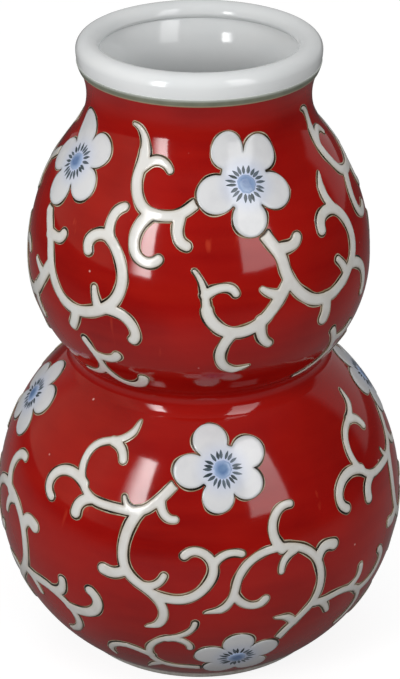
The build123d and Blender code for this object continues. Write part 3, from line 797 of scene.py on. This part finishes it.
def even_steps(loop, step):
    """A closed line's points, evenly spaced and slightly eased."""
    closed = np.vstack([loop, loop[:1]])
    lengths = np.concatenate([[0], np.cumsum(np.linalg.norm(np.diff(closed, axis=0), axis=1))])
    count = max(12, round(lengths[-1] / step))
    stations = np.arange(count) * lengths[-1] / count
    even = np.stack([np.interp(stations, lengths, closed[:, axis]) for axis in range(3)], 1)
    return 0.25 * np.roll(even, 1, 0) + 0.5 * even + 0.25 * np.roll(even, -1, 0)


class Rim:
    """One rim on the outside: its points, and the way out from it across the surface."""

    def __init__(self, loop):
        azimuth, along = outside.locate(drawn_out(even_steps(loop, RIM_STEP)))
        self.azimuth = np.unwrap(azimuth)
        self.along = along
        self.points, normals = outside.lift(azimuth, along)
        tangent = np.roll(self.points, -1, 0) - np.roll(self.points, 1, 0)
        outward = np.cross(tangent, normals)
        self.outward = outward / np.linalg.norm(outward, axis=1, keepdims=True)

    def shifted(self, distance):
        """Azimuth and profile length of the rim moved across the surface."""
        moved = self.points + self.outward * np.asarray(distance).reshape(-1, 1)
        azimuth, along = outside.locate(moved)
        near = np.round((self.azimuth - azimuth) / math.tau) * math.tau
        return azimuth + near, along

    def depth(self, points):
        """How deep some points lie inside the rim, negative where they are outside."""
        tree = search_tree(self.points)
        found = [tree.find(point)[1:] for point in points]
        nearest = np.array([index for index, _ in found])
        gap = np.array([distance for _, distance in found])
        side = ((points - self.points[nearest]) * self.outward[nearest]).sum(1)
        return np.where(side < 0, gap, -gap)

    def room(self, tree, tree_points, most):
        """How far the rim can move outward before another stretch of rim is as near."""
        room = np.full(len(self.points), most)
        for index, (point, way) in enumerate(zip(self.points, self.outward)):
            near = [found for _, found, _ in tree.find_range(point + most * way, most)]
            gap = tree_points[near] - point
            ahead = gap @ way
            gap = gap[ahead > LEAST_GAP]
            ahead = ahead[ahead > LEAST_GAP]
            if len(gap):
                room[index] = min(most, ((gap**2).sum(1) / (2 * ahead)).min())
        return room


def search_tree(points):
    """A tree that finds the points nearest to a place."""
    tree = KDTree(len(points))
    for index, point in enumerate(points):
        tree.insert(point, index)
    tree.balance()
    return tree


VINE_NODES = [
    "upper_stem_vines", "upper_neck_vines", "waist_vines",
    "lower_scroll_vines", "lower_arch_vines", "foot_vines",
]
BLOSSOM_NODES = ["upper_blossoms", "lower_blossoms", "foot_blossoms"]


def crown_height(distance):
    """Height of the enamel at a distance inside its rim: a rounded shoulder, then level."""
    share = np.clip(distance / SHOULDER, 0, 1)
    return RIM_HEIGHT + (RELIEF - RIM_HEIGHT) * np.sqrt(1 - (1 - share) ** 2)


def triangles_inside(corners, count):
    """Points and triangles inside a closed line of corners and through the corners after it."""
    edges = [(k, (k + 1) % count) for k in range(count)]
    placed, _, faces, source, _, _ = delaunay_2d_cdt([Vector(c) for c in corners], edges, [], 1, TINY)
    return placed, [list(face) for face in faces], source


def enamel_patch(rim):
    """Points, faces and rim distances of one closed enamel patch."""
    count = len(rim.points)
    middle, _ = outside.lift(np.zeros(1), rim.along.mean(keepdims=True))
    scale = float(np.hypot(middle[0, 0], middle[0, 1]))
    edge = np.stack([rim.azimuth * scale, rim.along], 1)
    low = edge.min(0)
    columns, rows = np.ceil((edge.max(0) - low) / GRID_STEP).astype(int)
    column, row = np.meshgrid(np.arange(columns), np.arange(rows))
    staggered = column + row % 2 / 2
    grid = np.stack([low[0] + staggered.ravel() * GRID_STEP, low[1] + row.ravel() * GRID_STEP], 1)
    depth = rim.depth(outside.lift(grid[:, 0] / scale, grid[:, 1])[0])
    inside = depth > 2.2 * SHOULDER_INSET
    azimuth, along = rim.shifted(-SHOULDER_INSET)
    ring = np.stack([azimuth * scale, along], 1)
    known = np.concatenate([np.zeros(count), np.full(count, SHOULDER_INSET), depth[inside]])
    placed, faces, source = triangles_inside(np.vstack([edge, ring, grid[inside]]), count)
    inset = np.array([known[s[0]] if s else 0.0 for s in source])
    place = np.array(placed)
    top, _ = outside.lift(place[:, 0] / scale, place[:, 1], crown_height(inset))
    under_placed, under_faces, _ = triangles_inside(edge, count)
    under = np.array(under_placed)
    bottom, _ = outside.lift(under[:, 0] / scale, under[:, 1], -BURIED)
    total = len(top)
    closed = faces + [[total + k for k in reversed(face)] for face in under_faces]
    closed += [[(k + 1) % count, k, total + k, total + (k + 1) % count] for k in range(count)]
    return np.vstack([top, bottom]), closed, np.concatenate([inset, np.zeros(len(bottom))])


def strip(rim, inner, outer, heights):
    """Closed ribbon along a rim between two distances outside it, with its heights and shares across."""
    shares = list(np.linspace(0, 1, len(heights)))
    rows = []
    for share, height in zip(shares + [1, 0], list(heights) + [-BURIED, -BURIED]):
        rows.append(outside.lift(*rim.shifted(inner + (outer - inner) * share), height)[0])
    count = len(rim.points)
    faces = []
    for row in range(len(rows)):
        start = row * count
        after = (row + 1) % len(rows) * count
        for k in range(count):
            ahead = (k + 1) % count
            faces.append([start + k, start + ahead, after + ahead, after + k])
    return np.vstack(rows), faces, np.repeat(shares + [1, 0], count)


def hand_waver(count, low, high):
    """A slow uneven change between two values along a closed line, as a brush line has."""
    turn = np.linspace(0, math.tau, count, endpoint=False)
    waves = sum(
        random.uniform(0.4, 1) * np.sin(turn * k + random.uniform(0, math.tau))
        for k in (2, 3, 5, 8, max(9, count // 40), max(10, count // 23))
    )
    return low + (high - low) * np.clip(0.5 + waves / 4, 0, 1)


def join_parts(parts):
    """Points, faces and point values of several meshes as one."""
    points = []
    faces = []
    values = []
    start = 0
    for part_points, part_faces, part_values in parts:
        points.append(part_points)
        values.append(part_values)
        faces += [[start + k for k in face] for face in part_faces]
        start += len(part_points)
    return np.vstack(points), faces, np.concatenate(values)


def blossom_spots(node):
    """The places of a node's blossom eyes."""
    points, triangles = node_triangles(node)
    parent = list(range(len(points)))

    def find(k):
        while parent[k] != k:
            parent[k] = parent[parent[k]]
            k = parent[k]
        return k

    for a, b, c in triangles.tolist():
        parent[find(a)] = find(b)
        parent[find(b)] = find(c)
    groups = {}
    for k in range(len(points)):
        groups.setdefault(find(k), []).append(k)
    middles = np.array([(points[g].min(0) + points[g].max(0)) / 2 for g in groups.values()])
    return [Spot(azimuth, along) for azimuth, along in zip(*outside.locate(middles))]


class Spot:
    """A blossom's middle with level and upright directions across the surface."""

    def __init__(self, azimuth, along):
        middle, normal = outside.lift(np.array([azimuth]), np.array([along]))
        self.middle = middle[0]
        self.level = np.array([math.cos(azimuth), math.sin(azimuth), 0])
        self.upright = np.cross(normal[0], self.level)

    def place(self, radius, angle, height):
        """Points at polar places round the middle, at a height above the outside."""
        radius, angle = np.broadcast_arrays(radius, angle)
        level = np.outer(radius * np.cos(angle), self.level)
        upright = np.outer(radius * np.sin(angle), self.upright)
        return outside.lift(*outside.locate(self.middle + level + upright), height)[0]


def ring_faces(rings, around, first=0):
    """Faces between rings of points that follow one another."""
    faces = []
    for ring in range(rings - 1):
        start = first + ring * around
        for k in range(around):
            ahead = (k + 1) % around
            faces.append([start + k, start + around + k, start + around + ahead, start + ahead])
    return faces


def eye_disc(spot):
    """A low dome with a slightly uneven edge, and its points' shares of the way out."""
    heights = [RELIEF + EYE_RELIEF * (1 - share**EYE_FLATNESS) for share in EYE_SHARES[:-2]]
    heights += [RELIEF - EYE_DROP, 0]
    angle = np.linspace(0, math.tau, EYE_SIDES, endpoint=False)
    edge = EYE_RADIUS * hand_waver(EYE_SIDES, *EYE_UNEVEN)
    rings = [spot.place(np.zeros(1), np.zeros(1), heights[0])]
    for share, height in zip(EYE_SHARES[1:], heights[1:]):
        rings.append(spot.place(edge * share, angle, height))
    faces = [[0, 1 + k, 1 + (k + 1) % EYE_SIDES] for k in range(EYE_SIDES)]
    faces += ring_faces(len(rings) - 1, EYE_SIDES, 1)
    start = 1 + (len(rings) - 2) * EYE_SIDES
    faces.append([start + k for k in reversed(range(EYE_SIDES))])
    return np.vstack(rings), faces, np.concatenate([[0], np.repeat(EYE_SHARES[1:], EYE_SIDES)])


def stamen(spot, angle):
    """One tapering stroke that points away from the eye, of thicker or thinner ink."""
    inner = EYE_RADIUS + random.uniform(*STAMEN_GAP)
    outer = inner + random.uniform(*STAMEN_LENGTH)
    half = random.uniform(*STAMEN_HALF)
    lean = random.uniform(*STAMEN_LEAN)
    thinned = random.uniform(*STAMEN_THIN)
    rows = []
    for share, width in STAMEN_OUTLINE:
        radius = inner + (outer - inner) * share
        spread = STAMEN_ACROSS * width * half / radius
        rows.append(spot.place(radius, angle + lean * share + spread, STAMEN_HEIGHTS))
    around = len(STAMEN_ACROSS)
    last = (len(rows) - 1) * around
    faces = [list(range(around)), [last + k for k in reversed(range(around))]]
    faces += ring_faces(len(rows), around)
    return np.vstack(rows), faces, np.full(len(rows) * around, thinned)


def build_outlines(node, rims_here, tree, tree_points):
    """The ink line and the cream margin round a node's enamel."""
    inks = []
    margins = []
    for rim in rims_here:
        count = len(rim.points)
        room = rim.room(tree, tree_points, 2 * (INK_WIDTH + TAN_WIDTH))
        press = np.maximum(hand_waver(count, 0, 1), 1 - room / CROTCH)
        ink = np.minimum(INK_WIDTH * (INK_LIGHTEST + INK_GAIN * press), room)
        edge = np.minimum(ink + TAN_WIDTH * hand_waver(count, *TAN_SHARES), room)
        points, faces, across = strip(rim, np.full(count, -INK_OVERLAP), ink, INK_HEIGHTS)
        inks.append((points, faces, np.tile(press, len(across) // count)))
        margins.append(strip(rim, ink - TAN_OVERLAP, edge, TAN_HEIGHTS))
    lines = (("ink", inks, INK, "press"), ("margin", margins, TAN, "across"))
    for label, parts, material, value in lines:
        points, faces, values = join_parts(parts)
        line = make_piece(f"{node}_{label}", points, faces, [material])
        store(line, value, values)


def build_decoration():
    """Enamel, outlines, eyes and stamens."""
    node_rims = {node: [Rim(loop) for loop in rims(node)] for node in VINE_NODES + BLOSSOM_NODES}
    tree_points = np.vstack([rim.points for found in node_rims.values() for rim in found])
    tree = search_tree(tree_points)
    eyes = {node: blossom_spots(node) for node in ("upper_blossom_eyes", "lower_blossom_eyes")}
    middles = np.array([spot.middle for spots in eyes.values() for spot in spots])
    for node, rims_here in node_rims.items():
        points, faces, inset = join_parts([enamel_patch(rim) for rim in rims_here])
        enamel = PETAL if node in BLOSSOM_NODES else VINE
        piece = stand_for(make_piece(f"{node}_enamel", points, faces, [enamel]), node)
        store(piece, "rim_mm", inset / MM)
        if node in BLOSSOM_NODES:
            gap = np.linalg.norm(points[:, None, :] - middles[None], axis=2).min(1)
            near = np.clip(1 - (gap - EYE_RADIUS) / WASH_REACH, 0, 1)
            store(piece, "wash", WASH * near**WASH_FADE)
        build_outlines(node, rims_here, tree, tree_points)
    for node, spots in eyes.items():
        points, faces, across = join_parts([eye_disc(spot) for spot in spots])
        piece = stand_for(make_piece(f"{node}_enamel", points, faces, [BLUE]), node)
        store(piece, "across", across)
        strokes = []
        for spot in spots:
            for k in range(STAMENS):
                turn = math.tau * (k + random.uniform(*STAMEN_SPACING)) / STAMENS
                strokes.append(stamen(spot, turn))
        points, faces, thinned = join_parts(strokes)
        piece = make_piece(node.replace("eyes", "stamens"), points, faces, [STAMEN])
        store(piece, "thinned", thinned)


def pale_floor():
    """Pale matt floor with a soft shadow, white to the camera; paler near the vase and darker away from
    it, a painted pool of light and painted shade that the glaze mirrors.
    """
    material = bpy.data.materials.new("pale_floor")
    material.use_nodes = True
    graph = material.node_tree
    where = graph.nodes.new("ShaderNodeTexCoord")
    away = graph.nodes.new("ShaderNodeVectorMath")
    away.operation = "LENGTH"
    graph.links.new(where.outputs["Object"], away.inputs[0])
    distance = away.outputs["Value"]
    # Paler near the vase and darker away from it: a painted pool of light and painted shade for the
    # glaze to mirror
    pale_with_painted_falloff = map_range(graph, distance, (FLOOR_NEAR, FLOOR_FAR), (NEAR_PALE_PAINTED_LIGHT, FAR_PALE_PAINTED_SHADE))
    lift = map_range(graph, distance, (FLOOR_NEAR, FLOOR_FAR), (NEAR_LIFT, FAR_LIFT))
    matt = graph.nodes["Principled BSDF"]
    graph.links.new(pale_with_painted_falloff, matt.inputs["Base Color"])
    matt.inputs["Roughness"].default_value = 0.9
    matt.inputs["Specular IOR Level"].default_value = 0
    glow = graph.nodes.new("ShaderNodeEmission")
    graph.links.new(seen(graph, lift, 0.0), glow.inputs["Strength"])
    both = graph.nodes.new("ShaderNodeAddShader")
    graph.links.new(matt.outputs["BSDF"], both.inputs[0])
    graph.links.new(glow.outputs["Emission"], both.inputs[1])
    graph.links.new(both.outputs["Shader"], graph.nodes["Material Output"].inputs["Surface"])
    return material


def seen(graph, straight, mirrored):
    """One strength for what the camera sees and one for what a gloss mirrors."""
    path = graph.nodes.new("ShaderNodeLightPath")
    camera = path.outputs["Is Camera Ray"]
    through = path.outputs["Is Transmission Ray"]
    direct = math_node(graph, "MAXIMUM", camera, through)
    direct = math_node(graph, "MULTIPLY", direct, straight)
    gloss = math_node(graph, "MULTIPLY", path.outputs["Is Glossy Ray"], mirrored)
    return math_node(graph, "ADD", direct, gloss)


def build_world():
    """White behind the vase, a soft light from all round, and a dimmer studio in the glaze."""
    world = bpy.data.worlds.new("surroundings")
    bpy.context.scene.world = world
    world.use_nodes = True
    graph = world.node_tree
    where = graph.nodes.new("ShaderNodeTexCoord")
    axes = graph.nodes.new("ShaderNodeSeparateXYZ")
    graph.links.new(where.outputs["Generated"], axes.inputs["Vector"])
    across = axes.outputs["X"]
    deep = axes.outputs["Y"]
    above = axes.outputs["Z"]

    # Studio that the glaze mirrors
    ahead = math_node(graph, "MULTIPLY", deep, -1.0)
    azimuth = math_node(graph, "ARCTAN2", across, ahead)
    turn = math_node(graph, "ADD", math_node(graph, "DIVIDE", azimuth, math.tau), 0.5)
    stops = [(a / 360 + 0.5, (b * (1 + warm), b, b * (1 - warm))) for a, b, warm in STUDIO]
    around = ramp(graph, turn, stops)
    high = map_range(graph, above, STUDIO_TOP, (0.0, 1.0))
    studio = mix(graph, high, around, (STUDIO_ABOVE, STUDIO_ABOVE, STUDIO_ABOVE))

    # Soft light on matt surfaces
    soft = math_node(graph, "MULTIPLY", across, -AMBIENT_LEFT)
    for axis, share in ((above, AMBIENT_ABOVE), (deep, AMBIENT_BEHIND)):
        soft = math_node(graph, "ADD", soft, math_node(graph, "MULTIPLY", axis, share))
    soft = math_node(graph, "ADD", soft, AMBIENT)
    path = graph.nodes.new("ShaderNodeLightPath")
    soft = math_node(graph, "MULTIPLY", soft, path.outputs["Is Diffuse Ray"])
    total = math_node(graph, "ADD", seen(graph, 1.0, 1.0), soft)
    graph.links.new(total, graph.nodes["Background"].inputs["Strength"])
    color = mix(graph, path.outputs["Is Glossy Ray"], WHITE, studio)
    graph.links.new(color, graph.nodes["Background"].inputs["Color"])


def sheet_of_light(name, azimuth, distance, low, high, width, strength, soft_side, dim_foot):
    """An upright light box facing the vase, soft at one side and dimmer at its foot."""
    light = bpy.data.lights.new(name, "AREA")
    light.shape = "RECTANGLE"
    light.size = width
    light.size_y = high - low
    light.energy = strength * math.pi * light.size * light.size_y
    light.use_nodes = True
    graph = light.node_tree
    place = graph.nodes.new("ShaderNodeNewGeometry")
    axes = graph.nodes.new("ShaderNodeSeparateXYZ")
    graph.links.new(place.outputs["Parametric"], axes.inputs["Vector"])
    side = map_range(graph, axes.outputs["X"], (0.0, soft_side), (0.0, 1.0))
    foot = map_range(graph, axes.outputs["Y"], (0.0, 1.0), (dim_foot, 1.0))
    graph.links.new(math_node(graph, "MULTIPLY", side, foot), graph.nodes["Emission"].inputs["Strength"])
    lamp = bpy.data.objects.new(name, light)
    turn = math.radians(azimuth)
    lamp.location = (distance * math.sin(turn), -distance * math.cos(turn), (low + high) / 2)
    target = Vector((0, 0, (low + high) / 2))
    lamp.rotation_euler = (target - lamp.location).to_track_quat("-Z", "Y").to_euler()
    bpy.context.scene.collection.objects.link(lamp)


def build_stage():
    """Floor, light and camera."""
    bpy.ops.mesh.primitive_plane_add(size=FLOOR_SIZE, location=(0, 0, 0))
    ground = bpy.context.object
    ground.name = "floor"
    ground.data.materials.append(pale_floor())
    build_world()
    sheet_of_light(
        "left_strip", azimuth=-37, distance=0.34, low=0.13, high=0.36, width=0.092, strength=15,
        soft_side=0.65, dim_foot=0.8,
    )
    sheet_of_light(
        "right_box", azimuth=38.5, distance=0.5, low=0.155, high=0.75, width=0.21, strength=4.9,
        soft_side=0.05, dim_foot=0.55,
    )

    camera = bpy.data.cameras.new("camera")
    camera.lens = SENSOR * FOCAL_POINTS / PICTURE_HEIGHT
    camera.shift_x = (PICTURE_MIDDLE - AXIS_POINT) / PICTURE_HEIGHT
    view = bpy.data.objects.new("camera", camera)
    back = Vector((0, -math.cos(CAMERA_ELEVATION), math.sin(CAMERA_ELEVATION)))
    view.location = CAMERA_AIM + CAMERA_DISTANCE * back
    view.rotation_euler = (CAMERA_AIM - view.location).to_track_quat("-Z", "Y").to_euler()
    bpy.context.scene.collection.objects.link(view)
    bpy.context.scene.camera = view
    bpy.context.scene.view_settings.view_transform = "Standard"


build_body()
build_decoration()
build_stage()
